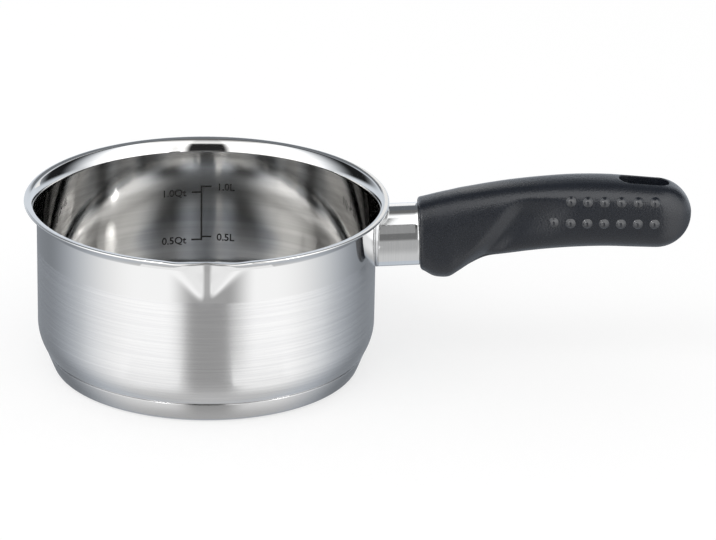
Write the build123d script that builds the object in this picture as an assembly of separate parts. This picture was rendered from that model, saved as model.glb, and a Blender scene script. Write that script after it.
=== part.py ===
from build123d import *
import math
import os

# A small stainless milk pan: +Z up, handle along +X, spout at -Y
# The origin is the centre of the base where it stands on the table

# Drawn steel pan
inner_radius = 80.0
sheet = 0.7
rim_height = 83.7
flare_reach = 5.7
underside_height = 4.2
upper_corner_radius = 24.0
bend_radius = 1.2
bend_angle = 35.0
flare_turn = 35.0

# Base capsule and the aluminium inside it
cap_sheet = 0.6
cap_inset = 3.8
cap_taper = 4.0
cap_top_height = 10.0
cap_corner_radius = 3.0
spreader_rim_height = 8.2
groove_ledge = 0.5
seat_gap = 0.1

# V spout pressed into the wall
spout_depth = 20.8
spout_half_width = 18.4
spout_nose_radius = 2.5

# Neck between the wall and the grip, measured along its own tilted axis
neck_drop = 18.5
neck_tilt = 3.0
neck_length = 20.5
sleeve_height = 31.0
sleeve_width = 22.0
sleeve_sheet = 0.8

# Welded bracket with its channel tang
bracket_sheet = 1.5
saddle_width = 13.0
saddle_height = 21.0
tang_end = 13.5
tang_height = 11.0
nut_side = 8.0
nut_height = 4.0
nut_play = 0.15

# Screw that goes up through the finger guard
screw_place = 31.5
screw_radius = 2.5
screw_length = 16.0
screw_head_radius = 4.7
screw_head_height = 3.0
screw_boss = 7.0
washer_radius = 4.4
washer_height = 1.2
washer_split = 1.0
thread_play = 0.05
recess_width = 1.0
recess_depth = 1.6
hole_play = 0.3
head_play = 0.6

# Moulded grip
grip_length = 150.4
grip_reach = 49.7
grip_width = 28.6
guard_drop = 19.5
tail_length = 17.1
spigot_length = 6.0
socket_play = 0.3
slot_length = 24.0
slot_width = 10.5
slot_margin = 23.2
hollow_radius = 26.0
hollow_depth = 1.5
hollow_place = 60.3
hollow_lean = 36.5
hollow_width_share = 0.9
hollow_height_share = 0.59
nub_margin = 18.9
upper_nubs = 6
lower_nubs = 7
upper_row_share = 0.842
lower_row_share = 0.627
nub_radius = 2.2
nub_height = 0.9
nub_pitch = 8.0

# One overrun for every cut that has to pass clean through
overrun = 20.0

# Sizes that follow from the ones above
wall_radius = inner_radius + sheet
rim_radius = wall_radius + flare_reach
cap_top_radius = wall_radius - cap_inset
cap_foot_radius = cap_top_radius - cap_taper
groove_radius = cap_top_radius - groove_ledge
corner_turn = math.acos(1 - (wall_radius - groove_radius) / upper_corner_radius)
corner_height = cap_top_height + upper_corner_radius * math.sin(corner_turn)
lower_corner_radius = (cap_top_height - underside_height) / (1 - math.sin(corner_turn))
bend_cosine = math.cos(math.radians(180 - bend_angle))
edge_cosine = math.cos(math.radians(180 - bend_angle - flare_turn))
flare_radius = (bend_radius * (1 + bend_cosine) - flare_reach) / (bend_cosine - edge_cosine)
neck_height = rim_height - neck_drop
tang_length = screw_place + tang_end
grip_low = neck_height - guard_drop
grip_end = wall_radius + grip_length
tail_start = grip_end - tail_length
neck = Pos(wall_radius, 0, neck_height) * Rot(0, -neck_tilt, 0)


def arc_point(centre, radius, degrees):
    """Point on a circle in the plane of the pan's profile."""
    angle = math.radians(degrees)
    return Vector(centre.X + radius * math.cos(angle), 0, centre.Z + radius * math.sin(angle))


def profile_arc(centre, radius, start, end):
    """Arc in the pan's profile plane through three of its own points."""
    middle = (start + end) / 2
    return ThreePointArc(*(arc_point(centre, radius, a) for a in (start, middle, end)))


def pan_line(inset):
    """Half profile of the pan's wall, this far inside its outer surface."""
    turn = math.degrees(corner_turn)
    upper = Vector(wall_radius - upper_corner_radius, 0, corner_height)
    lower = arc_point(upper, upper_corner_radius - lower_corner_radius, -turn)
    bend_end = 180 - bend_angle
    flare_end = bend_end - flare_turn
    flare = Vector(rim_radius, 0, rim_height) - arc_point(Vector(0, 0, 0), flare_radius, flare_end)
    bend = arc_point(flare, flare_radius - bend_radius, bend_end)
    floor = underside_height + inset
    wall = wall_radius - inset
    return [
        Line((0, 0, floor), (lower.X, 0, floor)),
        profile_arc(lower, lower_corner_radius - inset, -90, -turn),
        profile_arc(upper, upper_corner_radius - inset, -turn, 0),
        Line((wall, 0, corner_height), (wall, 0, bend.Z)),
        profile_arc(bend, bend_radius + inset, 180, bend_end),
        profile_arc(flare, flare_radius + inset, bend_end, flare_end),
    ]


def turned(edges):
    """Solid turned about the pan's axis from a closed outline."""
    return revolve(make_face(Wire(edges)), Axis.Z)


def pan_fill(inset):
    """Everything inside the pan's wall at this inset, closed over at the rim."""
    edges = pan_line(inset)
    end = edges[-1] @ 1
    top = Vector(0, 0, end.Z)
    return turned(edges + [Line(end, top), Line(top, edges[0] @ 0)])


def spout_form(top):
    """V wedge from its tip on the wall up to this height."""
    grow = (top - rim_height + spout_depth) / spout_depth
    reach = flare_reach * grow
    half = spout_half_width * grow
    side = wall_radius - math.sqrt(wall_radius**2 - spout_half_width**2)
    back = side * grow
    deep = spout_nose_radius * 2 * grow
    points = [(0, -reach), (half, back), (half, deep + back), (-half, deep + back), (-half, back)]
    outline = make_face(Polyline(*points, close=True))
    nose = outline.vertices().sort_by(Axis.Y)[0]
    section = Plane((0, -wall_radius, top)) * fillet(nose, spout_nose_radius * grow)
    tip = Vertex(0, -wall_radius, rim_height - spout_depth)
    return loft([section.face(), tip], ruled=True)


def make_pan_body():
    """Drawn shell with its flared rim and pressed spout."""
    outer = pan_line(0)
    inner = pan_line(sheet)
    edges = outer + inner
    edges += [Line(outer[0] @ 0, inner[0] @ 0), Line(outer[-1] @ 1, inner[-1] @ 1)]
    ridge = Vector(0, -flare_reach, spout_depth)
    side = wall_radius - math.sqrt(wall_radius**2 - spout_half_width**2)
    facet = ridge.cross(Vector(spout_half_width, side, spout_depth)).normalized()
    wedge = spout_form(rim_height) - pan_fill(sheet)
    channel = Pos(0, sheet / abs(facet.Y), 0) * spout_form(rim_height + overrun)
    return turned(edges) + wedge - channel


def cap_fill(inset, top):
    """Everything inside the base capsule's skin at this inset."""
    lean = math.atan2(cap_taper, cap_top_height)
    foot = cap_foot_radius + inset * math.tan(lean) - inset / math.cos(lean)
    head = foot + (top - inset) * math.tan(lean)
    points = [(0, inset), (foot, inset), (head, top), (0, top)]
    outline = make_face(Polyline(*points, close=True))
    corner = outline.vertices().sort_by(Axis.X)[2]
    section = Plane.XZ * fillet(corner, cap_corner_radius - inset)
    return revolve(section, Axis.Z)


def make_base_cap():
    """Pressed steel capsule whose lip closes on the pan's corner."""
    inside = cap_fill(cap_sheet, cap_top_height + overrun)
    return cap_fill(0, cap_top_height) - inside - pan_fill(-seat_gap)


def make_heat_spreader():
    """Aluminium that fills the capsule up to the pan's floor."""
    seat = Pos(0, 0, seat_gap) * pan_fill(-seat_gap)
    block = cap_fill(cap_sheet + seat_gap, spreader_rim_height)
    skirt = Pos(0, 0, -seat_gap) * block
    return skirt - seat


def wall_column(gap):
    """Tall cylinder of the pan's wall with this much added all round."""
    return Pos(0, 0, rim_height / 2) * Cylinder(wall_radius + gap, rim_height + overrun)


def along_neck(low, high, width, bottom, top):
    """Block in the neck's own frame between two distances from the wall."""
    block = Box(high - low, width, top - bottom)
    return neck * Pos((low + high) / 2, 0, (bottom + top) / 2) * block


def oval_bar(low, high, height, width):
    """Oval bar along the neck between two distances from the wall."""
    section = Plane.YZ.offset(low) * Ellipse(width / 2, height / 2)
    return neck * extrude(section, high - low)


def screw_rod(radius, bottom, top):
    """Round rod on the screw's axis between two heights over the neck axis."""
    rod = Cylinder(radius, top - bottom)
    return neck * Pos(screw_place, 0, (bottom + top) / 2) * rod


tang_width = nut_side + 2 * nut_play + 2 * bracket_sheet
web_top = bracket_sheet - tang_height / 2
screw_seat = -tang_height / 2 - screw_boss
head_top = screw_seat - washer_height


def make_handle_bracket():
    """Saddle that follows the wall, with a channel tang and its screw hole."""
    block = along_neck(-overrun, overrun, saddle_width, -saddle_height / 2, saddle_height / 2)
    saddle = block & wall_column(seat_gap + bracket_sheet)
    outside = along_neck(-bracket_sheet, tang_length, tang_width, -tang_height / 2, tang_height / 2)
    trough = along_neck(
        -overrun, tang_length + overrun, nut_side + 2 * nut_play, web_top, tang_height
    )
    tang = outside - (trough - wall_column(seat_gap + bracket_sheet))
    hole = screw_rod(screw_radius + hole_play, -tang_height, 0)
    return saddle + tang - wall_column(seat_gap) - hole


def make_bracket_nut():
    """Square nut held from turning by the channel's walls."""
    half = nut_side / 2
    block = along_neck(
        screw_place - half, screw_place + half, nut_side, web_top, web_top + nut_height
    )
    return block - screw_rod(screw_radius + thread_play, web_top - overrun, overrun)


def make_grip_screw():
    """Pan head machine screw with a cross recess."""
    shank = screw_rod(screw_radius, head_top, head_top + screw_length)
    head = screw_rod(screw_head_radius, head_top - screw_head_height, head_top)
    foot = head_top - screw_head_height
    span = screw_head_radius / 2
    cross = Box(2 * span, recess_width, 2 * recess_depth)
    cross += Box(recess_width, 2 * span, 2 * recess_depth)
    return shank + head - neck * Pos(screw_place, 0, foot) * cross


def make_lock_washer():
    """Split spring washer between the screw's head and its seat."""
    ring = screw_rod(washer_radius, head_top, screw_seat)
    ring -= screw_rod(screw_radius + hole_play, head_top - overrun, overrun)
    far = screw_place + washer_radius + overrun
    split = along_neck(screw_place, far, washer_split, head_top - overrun, screw_seat + overrun)
    return ring - split


def make_neck_sleeve():
    """Oval tube scribed to the wall and to the underside of the rim."""
    tube = oval_bar(-overrun, neck_length, sleeve_height, sleeve_width)
    bore_height = sleeve_height - 2 * sleeve_sheet
    bore_width = sleeve_width - 2 * sleeve_sheet
    bore = oval_bar(-2 * overrun, neck_length + overrun, bore_height, bore_width)
    return tube - bore - pan_fill(-seat_gap) - wall_column(seat_gap)


# Stations along the grip: length, top and bottom over its reach, and width
grip_station_shares = (
    (0.112, 0.744, 0.120, 0.87),
    (0.155, 0.777, 0.058, 0.90),
    (0.182, 0.800, 0.011, 0.91),
    (0.208, 0.820, -0.003, 0.92),
    (0.235, 0.839, 0.004, 0.92),
    (0.261, 0.859, 0.053, 0.91),
    (0.301, 0.882, 0.136, 0.90),
    (0.354, 0.912, 0.213, 0.89),
    (0.428, 0.948, 0.251, 0.90),
    (0.527, 0.982, 0.292, 0.92),
    (0.627, 1.002, 0.320, 0.97),
    (0.727, 1.002, 0.332, 0.99),
    (0.820, 0.983, 0.327, 1.00),
)
tail_station_shares = (0.10, 0.40, 0.64, 0.82, 0.94)
tail_centre_share = 0.645
tail_half_share = 0.322
section_fullness = 2.8
section_points = 24


def full_power(value):
    """Signed power that fills an oval out towards a rounded block."""
    return math.copysign(abs(value) ** (2 / section_fullness), value)


def grip_section(x, top, bottom, width):
    """Full oval section of the grip across its length."""
    points = []
    for step in range(section_points):
        angle = 2 * math.pi * step / section_points
        side = width / 2 * full_power(math.cos(angle))
        points.append((side, (top - bottom) / 2 * full_power(math.sin(angle))))
    place = Plane((x, 0, (top + bottom) / 2), x_dir=(0, 1, 0), z_dir=(1, 0, 0))
    return (place * make_face(Spline(*points, periodic=True))).face()


def make_grip_form():
    """Outer form of the grip, from inside the neck to its rounded tail."""
    sections = []
    for along, top, bottom, width in grip_station_shares:
        x = wall_radius + along * grip_length
        high = grip_low + top * grip_reach
        low = grip_low + bottom * grip_reach
        sections.append(grip_section(x, high, low, width * grip_width))
    centre = grip_low + tail_centre_share * grip_reach
    for share in tail_station_shares:
        size = math.sqrt(1 - share**2)
        half = tail_half_share * grip_reach * size
        x = tail_start + share * tail_length
        sections.append(grip_section(x, centre + half, centre - half, grip_width * size))
    sections.append(Vertex(grip_end, 0, centre))
    return loft(sections)


def finger_hollows():
    """Round bar laid against both sides behind the finger guard."""
    bar = Rot(0, hollow_lean, 0) * Cylinder(hollow_radius, 2 * grip_reach)
    away = grip_width / 2 * hollow_width_share + hollow_radius - hollow_depth
    x = wall_radius + hollow_place
    z = grip_low + hollow_height_share * grip_reach
    return [Pos(x, side * away, z) * bar for side in (-1, 1)]


def nub_places():
    """Two rows of nub centres on the side of the grip."""
    for count, height in ((upper_nubs, upper_row_share), (lower_nubs, lower_row_share)):
        for step in range(count):
            yield grip_end - nub_margin - step * nub_pitch, grip_low + height * grip_reach


def make_nubs(form):
    """Low domes that stand on both sides of the grip."""
    ball = (nub_radius**2 + nub_height**2) / (2 * nub_height)
    nubs = []
    for x, z in nub_places():
        for side in (-1, 1):
            line = Axis((x, side * grip_width, z), (0, -side, 0))
            point, normal = form.find_intersection_points(line)[0]
            nubs.append(Pos(*(point - normal * (ball - nub_height))) * Sphere(ball))
    return nubs


def make_spigot():
    """Oval tongue of the grip that fits inside the neck sleeve."""
    height = sleeve_height - 2 * sleeve_sheet - 2 * socket_play
    width = sleeve_width - 2 * sleeve_sheet - 2 * socket_play
    return oval_bar(neck_length - spigot_length, neck_length + spigot_length, height, width)


def make_grip():
    """Grip with its spigot, tang socket, screw hole, slot, hollows and nubs."""
    form = make_grip_form()
    form -= along_neck(-overrun, neck_length, 2 * grip_width, -grip_reach, grip_reach)
    form -= finger_hollows()
    form += make_nubs(form)
    form += make_spigot()
    slot = extrude(SlotOverall(slot_length, slot_width), grip_reach + overrun)
    form -= Pos(grip_end - slot_margin, 0, grip_low) * slot
    socket_width = tang_width + 2 * socket_play
    socket_top = tang_height / 2 + socket_play
    form -= along_neck(0, tang_length + socket_play, socket_width, -tang_height / 2, socket_top)
    form -= screw_rod(screw_radius + hole_play, screw_seat, 0)
    form -= screw_rod(screw_head_radius + head_play, screw_seat - grip_reach, screw_seat)
    return form


nodes = {
    "pan_body": make_pan_body,
    "heat_spreader": make_heat_spreader,
    "base_cap": make_base_cap,
    "handle_bracket": make_handle_bracket,
    "neck_sleeve": make_neck_sleeve,
    "grip": make_grip,
    "grip_screw": make_grip_screw,
    "lock_washer": make_lock_washer,
    "bracket_nut": make_bracket_nut,
}

for name, make in nodes.items():
    export_step(make(), f"parts/{name}.step")
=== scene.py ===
import math

import bmesh
import bpy
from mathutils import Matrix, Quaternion, Vector


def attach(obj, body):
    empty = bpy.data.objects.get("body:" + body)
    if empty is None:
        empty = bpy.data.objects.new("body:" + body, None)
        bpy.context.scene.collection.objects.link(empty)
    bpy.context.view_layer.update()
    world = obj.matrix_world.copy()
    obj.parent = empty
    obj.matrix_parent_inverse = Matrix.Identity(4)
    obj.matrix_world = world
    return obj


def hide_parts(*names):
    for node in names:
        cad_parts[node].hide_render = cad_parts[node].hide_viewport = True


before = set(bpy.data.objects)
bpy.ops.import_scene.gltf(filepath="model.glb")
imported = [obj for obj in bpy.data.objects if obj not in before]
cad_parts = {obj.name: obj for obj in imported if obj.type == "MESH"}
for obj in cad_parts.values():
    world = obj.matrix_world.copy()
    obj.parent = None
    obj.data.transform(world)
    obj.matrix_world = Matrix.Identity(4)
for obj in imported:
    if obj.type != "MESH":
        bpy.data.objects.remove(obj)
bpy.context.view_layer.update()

mm = 0.001

# Camera
# A long lens looks down on the pan from the side of its spout, a little turned about its own axis. Its place
# and length were fitted to the ellipses of the rim, the crease, the groove and the base.
camera_place = Vector((0, -1671.76 * mm, 710.52 * mm))
camera_aim = Vector((72.5 * mm, 0, 47.23 * mm))
camera_roll = 1.204
lens_length = 188.87
film_width = 36

camera = bpy.data.objects.new("camera", bpy.data.cameras.new("camera"))
camera.data.lens = lens_length
camera.data.sensor_width = film_width
camera.location = camera_place
camera.rotation_mode = "QUATERNION"
facing = (camera_aim - camera_place).to_track_quat("-Z", "Y")
camera.rotation_quaternion = facing @ Quaternion((0, 0, 1), math.radians(camera_roll))
bpy.context.collection.objects.link(camera)
bpy.context.scene.camera = camera
bpy.context.scene.view_settings.view_transform = "Standard"

# Studio
# Two large soft boxes stand left and right of the camera with a dark gap between them, black flags stand at
# the sides, and the backdrop behind is white up to a dark ceiling. Metal sees them by direction, while matt
# pieces get one even soft light. The table is white, keeps the pan's shadow and is clear from below.


class Wire:
    """Output of a node: arithmetic on it adds Math nodes to its tree."""

    def __init__(self, tree, node, output=0):
        self.tree = tree
        self.node = node
        self.output = output

    def out(self, output):
        """Another output of the same node, by name or place."""
        return Wire(self.tree, self.node, output)

    def math(self, operation, *others):
        """Math node whose first value is this one."""
        return self.tree.math(operation, self, *others)

    def __add__(self, other):
        return self.math("ADD", other)

    def __sub__(self, other):
        return self.math("SUBTRACT", other)

    def __mul__(self, other):
        return self.math("MULTIPLY", other)

    def __truediv__(self, other):
        return self.math("DIVIDE", other)

    def __pow__(self, other):
        return self.math("POWER", other)

    def __mod__(self, other):
        return self.math("MODULO", other)

    def __gt__(self, other):
        return self.math("GREATER_THAN", other)

    def __lt__(self, other):
        return self.math("LESS_THAN", other)

    def __neg__(self):
        return self.math("MULTIPLY", -1.0)

    def __abs__(self):
        return self.math("ABSOLUTE")

    def __radd__(self, other):
        return self.tree.math("ADD", other, self)

    def __rsub__(self, other):
        return self.tree.math("SUBTRACT", other, self)

    def __rmul__(self, other):
        return self.tree.math("MULTIPLY", other, self)

    def __rtruediv__(self, other):
        return self.tree.math("DIVIDE", other, self)


class Tree:
    """Node tree, and the one way in which nodes are added to it."""

    def __init__(self, nodes):
        self.nodes = nodes
        nodes.nodes.clear()

    def add(self, kind, settings=None, sockets=None):
        """New node of this type: its settings first, then the values or links of its sockets."""
        node = self.nodes.nodes.new(kind)
        for name, value in (settings or {}).items():
            setattr(node, name, value)
        for name, value in (sockets or {}).items():
            self.fill(self.find(node.inputs, name), value)
        return Wire(self, node)

    def find(self, sockets, name):
        """Socket by its place, or the shown socket of this name."""
        if isinstance(name, int):
            return sockets[name]
        return next(s for s in sockets if s.name == name and s.enabled)

    def fill(self, socket, value):
        """Links a wire to a socket, or sets the socket's value."""
        if isinstance(value, Wire):
            self.nodes.links.new(self.find(value.node.outputs, value.output), socket)
        else:
            socket.default_value = value

    def math(self, operation, *values):
        """Math node on these values."""
        return self.add("ShaderNodeMath", {"operation": operation}, dict(enumerate(values)))

    def split(self, vector):
        """The three parts of a vector."""
        parts = self.add("ShaderNodeSeparateXYZ", {}, {0: vector})
        return parts.out("X"), parts.out("Y"), parts.out("Z")

    def joined(self, x, y, z):
        """Vector of three parts."""
        return self.add("ShaderNodeCombineXYZ", {}, {"X": x, "Y": y, "Z": z})

    def ease(self, value, start, end):
        """0 below start, 1 past end and a smooth rise between."""
        settings = {"interpolation_type": "SMOOTHSTEP"}
        sockets = {"Value": value, "From Min": start, "From Max": end}
        return self.add("ShaderNodeMapRange", settings, sockets)

    def mix(self, share, first, second):
        """Colour between two colours."""
        sockets = {"Factor": share, "A": first, "B": second}
        return self.add("ShaderNodeMix", {"data_type": "RGBA"}, sockets).out("Result")

    def noise(self, vector, detail, scale=1.0):
        """Soft noise over a vector, from 0 to 1."""
        sockets = {"Vector": vector, "Scale": scale, "Detail": detail}
        return self.add("ShaderNodeTexNoise", {}, sockets).out("Fac")

    def here(self):
        """Place of each point in the frame of its piece."""
        return self.add("ShaderNodeTexCoord").out("Object")

    def bump(self, strength, distance, height):
        """Normal bent by a height from 0 to 1 that rises this far."""
        sockets = {"Strength": strength, "Distance": distance, "Height": height}
        return self.add("ShaderNodeBump", {}, sockets)

    def principled(self, sockets):
        """Shader of a piece with these values and links."""
        return self.add("ShaderNodeBsdfPrincipled", {}, sockets)

    def finish(self, look):
        """Ends a material with this shader."""
        self.add("ShaderNodeOutputMaterial", {}, {"Surface": look})


def new_material(name):
    """Material with an empty tree of nodes."""
    material = bpy.data.materials.new(name)
    material.use_nodes = True
    return material, Tree(material.node_tree)


# Light level of each part, as polished metal sees it
even_level = 0.86
gap_level, gap_foot_level, gap_top_level = 0.03, 0.20, 1.26
box_level, flag_level, backdrop_level = 1.8, 0.02, 0.98
rear_gap_level, ceiling_level, ceiling_rise = 0.25, 0.17, 0.20
table_gap_level, table_glow_level, table_side_level, table_deep_level = 0.50, 1.36, 0.30, 0.70
cool_light = (0.90, 0.965, 1.05, 1)
white_light = (1, 1, 1, 1)

# Where one part turns into the next, in degrees round from the camera's side
gap_to_box = (11.5, 17.5)
box_to_flag = (74.0, 119.0)
flag_to_backdrop = (131.0, 156.0)
backdrop_to_rear_gap = (156.0, 176.0)
sweep_start = (84.0, 98.0)
cool_start = (60.0, 125.0)
table_gap_to_glow = (10.0, 31.0)
table_glow_to_side = (44.0, 136.0)
table_turn = 3.5

# And in degrees over the horizon
gap_foot = (20.0, 11.0)
gap_top = (49.0, 55.0)
box_top = (58.0, 76.0)
flag_foot = (7.0, 15.0)
backdrop_top = (36.0, 43.0)
rear_gap_foot = (21.0, 23.0)
ceiling_edge = (66.0, 44.0)
table_edge = (-19.0, -12.0)
table_deep = (-36.0, -64.0)

world = bpy.data.worlds.new("studio")
bpy.context.scene.world = world
world.use_nodes = True
world.cycles.sampling_method = "NONE"
studio = Tree(world.node_tree)
east, north, rise = studio.split(studio.add("ShaderNodeTexCoord").out("Generated"))
bearing = east.math("ARCTAN2", -north) * (180 / math.pi)
around = abs(bearing)
height = rise.math("ARCSINE") * (180 / math.pi)

# Below the horizon: the table, brightest under the two boxes
swing = abs(bearing - table_turn)
low = table_gap_level + (table_glow_level - table_gap_level) * studio.ease(swing, *table_gap_to_glow)
low = low + (table_side_level - low) * studio.ease(around, *table_glow_to_side)
low = low + (table_deep_level - low) * studio.ease(height, *table_deep)

# Above it: gap, box, flag and backdrop side by side, then the ceiling
gap = gap_level + (gap_foot_level - gap_level) * studio.ease(height, *gap_foot)
gap = gap + (gap_top_level - gap) * studio.ease(height, *gap_top)
front = gap + (box_level - gap) * studio.ease(around, *gap_to_box)
front = front + (flag_level - front) * studio.ease(around, *box_to_flag)
rear_gap = studio.ease(around, *backdrop_to_rear_gap) * studio.ease(height, *rear_gap_foot)
back = backdrop_level + (rear_gap_level - backdrop_level) * rear_gap
dim = ceiling_level + ceiling_rise * studio.ease(height, *ceiling_edge)
back = back + (dim - back) * studio.ease(height, *backdrop_top)
upper = front + (back - front) * studio.ease(around, *flag_to_backdrop)
upper = upper + (ceiling_level - upper) * studio.ease(height, *box_top)

# Round the horizon, the white sweep of the backdrop shows under the flags
skirt = backdrop_level + (upper - backdrop_level) * studio.ease(height, *flag_foot)
lifted = upper + (skirt - upper) * studio.ease(around, *sweep_start)
gloss = low + (lifted - low) * studio.ease(height, *table_edge)

ray = studio.add("ShaderNodeLightPath")
seen = ray.out("Is Camera Ray")
shiny = ray.out("Is Glossy Ray")
level = even_level + (gloss - even_level) * shiny
level = level + (1 - level) * seen
cool = studio.ease(around, *cool_start) * shiny
light = studio.mix(cool, white_light, cool_light)
backdrop = studio.add("ShaderNodeBackground", {}, {"Color": light, "Strength": level})
studio.add("ShaderNodeOutputWorld", {}, {"Surface": backdrop})

# The table is lifted to white where the camera sees it, and lies a hair below the pan
table_reach = 6.0
table_gap = 0.05 * mm
table_colour = (0.93, 0.93, 0.93, 1)
table_lift, lift_level = 0.5, 1.12
table_corners = [(-table_reach, -table_reach), (table_reach, -table_reach)]
table_corners += [(table_reach, table_reach), (-table_reach, table_reach)]
table_mesh = bpy.data.meshes.new("table")
table_mesh.from_pydata([(x, y, -table_gap) for x, y in table_corners], [], [(0, 1, 2, 3)])
table = bpy.data.objects.new("table", table_mesh)
bpy.context.collection.objects.link(table)
table.visible_glossy = False
table_white, plain = new_material("table_white")
matt = plain.add("ShaderNodeBsdfDiffuse", {}, {"Color": table_colour})
lift = plain.add("ShaderNodeEmission", {}, {"Color": white_light, "Strength": lift_level})
watched = plain.add("ShaderNodeLightPath").out("Is Camera Ray") * table_lift
table_top = plain.add("ShaderNodeMixShader", {}, {0: watched, 1: matt, 2: lift})
below = plain.add("ShaderNodeNewGeometry").out("Backfacing")
clear = plain.add("ShaderNodeBsdfTransparent")
plain.finish(plain.add("ShaderNodeMixShader", {}, {0: below, 1: table_top, 2: clear}))
table_mesh.materials.append(table_white)

# Lit cards round the handle, which only mirrored light shows: the sleeve and the grip mirror the first four
# as bands, and the two spots give each nub its highlights. Each is a level, its left and right edge, then the
# place and heights of its low edge and those of its high edge.
cards = {
    "sleeve_card": (1.5, 0.086, 0.106, (-0.20, 0.175, 0.175), (-0.15, 0.36)),
    "sleeve_low_card": (0.36, 0.080, 0.116, (-0.20, 0.078, 0.078), (-0.20, 0.170)),
    "grip_card": (2.2, 0.106, 0.440, (-0.20, 0.175, 0.095), (-0.15, 0.36)),
    "rear_card": (1.2, 0.075, 0.130, (0.30, 0.150, 0.150), (0.32, 0.50)),
    "left_spot": (13.0, -0.400, -0.240, (-0.50, 0.390, 0.390), (-0.50, 0.53)),
    "right_spot": (10.0, 0.450, 0.680, (-0.42, 0.200, 0.200), (-0.42, 0.42)),
}


def light_card(name, strength, corners, faces):
    """Lit card of the studio, which only mirrored light shows."""
    mesh = bpy.data.meshes.new(name)
    mesh.from_pydata(corners, [], faces)
    card = bpy.data.objects.new(name, mesh)
    bpy.context.collection.objects.link(card)
    card.visible_camera = False
    card.visible_diffuse = False
    card.visible_shadow = False
    paint, bright = new_material(name)
    bright.finish(bright.add("ShaderNodeEmission", {}, {"Color": white_light, "Strength": strength}))
    mesh.materials.append(paint)


for name, (strength, left, right, (low_y, left_z, right_z), (high_y, high_z)) in cards.items():
    low_edge = [(left, low_y, left_z), (right, low_y, right_z)]
    high_edge = [(right, high_y, high_z), (left, high_y, high_z)]
    light_card(name, strength, low_edge + high_edge, [(0, 1, 2, 3)])

# Two lit parts of the table before the pan, left and right of the dark gap, which the underside of the rim
# mirrors
glow_level, glow_inner, glow_outer = 1.2, 108 * mm, 145 * mm
glow_start, glow_end = math.radians(12), math.radians(38)
glow_height = 0.4 * mm
glow_steps = 12
for side, name in ((-1, "table_left"), (1, "table_right")):
    corners = []
    for step in range(glow_steps + 1):
        turn = side * (glow_start + (glow_end - glow_start) * step / glow_steps)
        for reach in (glow_inner, glow_outer):
            corners.append((reach * math.sin(turn), -reach * math.cos(turn), glow_height))
    faces = [(2 * step, 2 * step + 1, 2 * step + 3, 2 * step + 2) for step in range(glow_steps)]
    light_card(name, glow_level, corners, faces)

# A soft lamp at the upper left gives the pan its shadow
lamp = bpy.data.objects.new("soft_lamp", bpy.data.lights.new("soft_lamp", "AREA"))
lamp.data.shape = "RECTANGLE"
lamp.data.size = 1.6
lamp.data.size_y = 1.2
lamp.data.energy = 9.0
lamp.location = (-0.9, -1.0, 1.9)
lamp.rotation_euler = (-lamp.location).to_track_quat("-Z", "Y").to_euler()
lamp.visible_glossy = False
bpy.context.collection.objects.link(lamp)

# Pan body
# One disc of stainless steel, drawn to a straight wall over a rounded corner. The rim is rolled outwards from
# a crease, and a V spout is pressed into wall and rim. The outside is polished down to the spout's tip and
# brushed below, and the inside is polished.
wall_radius = 80.7 * mm
sheet = 0.7 * mm
rim_height = 83.7 * mm
flare_reach = 5.7 * mm
floor_height = 4.2 * mm
groove_height = 10 * mm
groove_inset = 4.3 * mm
corner_radius = 24 * mm
corner_turn = math.acos(1 - groove_inset / corner_radius)
corner_top = groove_height + corner_radius * math.sin(corner_turn)
tuck_radius = (groove_height - floor_height) / (1 - math.sin(corner_turn))
crease_radius = 1.2 * mm
knee_radius = 0.8 * mm
lip_radius = 16 * mm
flare_leans = [math.radians(lean) for lean in (0, 18, 47, 82, 89)]
rim_drop = 0.45 * mm
bead_drop = 0.6 * mm
bead_steps = 10
spout_depth = 23.4 * mm
spout_half_width = 17.6 * mm
spout_nose = 0.045
spout_blend = 1.3 * mm
spout_margin = 4 * mm
spout_fade = 3.5 * mm
spout_reach = 0.4
wave_width = 4.5 * mm
wave_rise, wave_dip, dip_place = 0.6 * mm, 0.35 * mm, 14 * mm
pan_columns = 400
pan_crowding = 0.3
floor_steps, corner_steps, wall_steps, spout_steps = 6, 10, 8, 36
flare_steps = (5, 12, 8, 6)
rim_steps = 8


def arc(centre, radius, start, end, steps):
    """Points on a circle in a profile, without the first one."""
    turns = [start + (end - start) * (step + 1) / steps for step in range(steps)]
    return [(centre[0] + radius * math.cos(t), centre[1] + radius * math.sin(t)) for t in turns]


def ramp(start, end, steps):
    """Points on a line in a profile, without the first one."""
    shares = [(step + 1) / steps for step in range(steps)]
    return [tuple(a + (b - a) * share for a, b in zip(start, end)) for share in shares]


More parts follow.
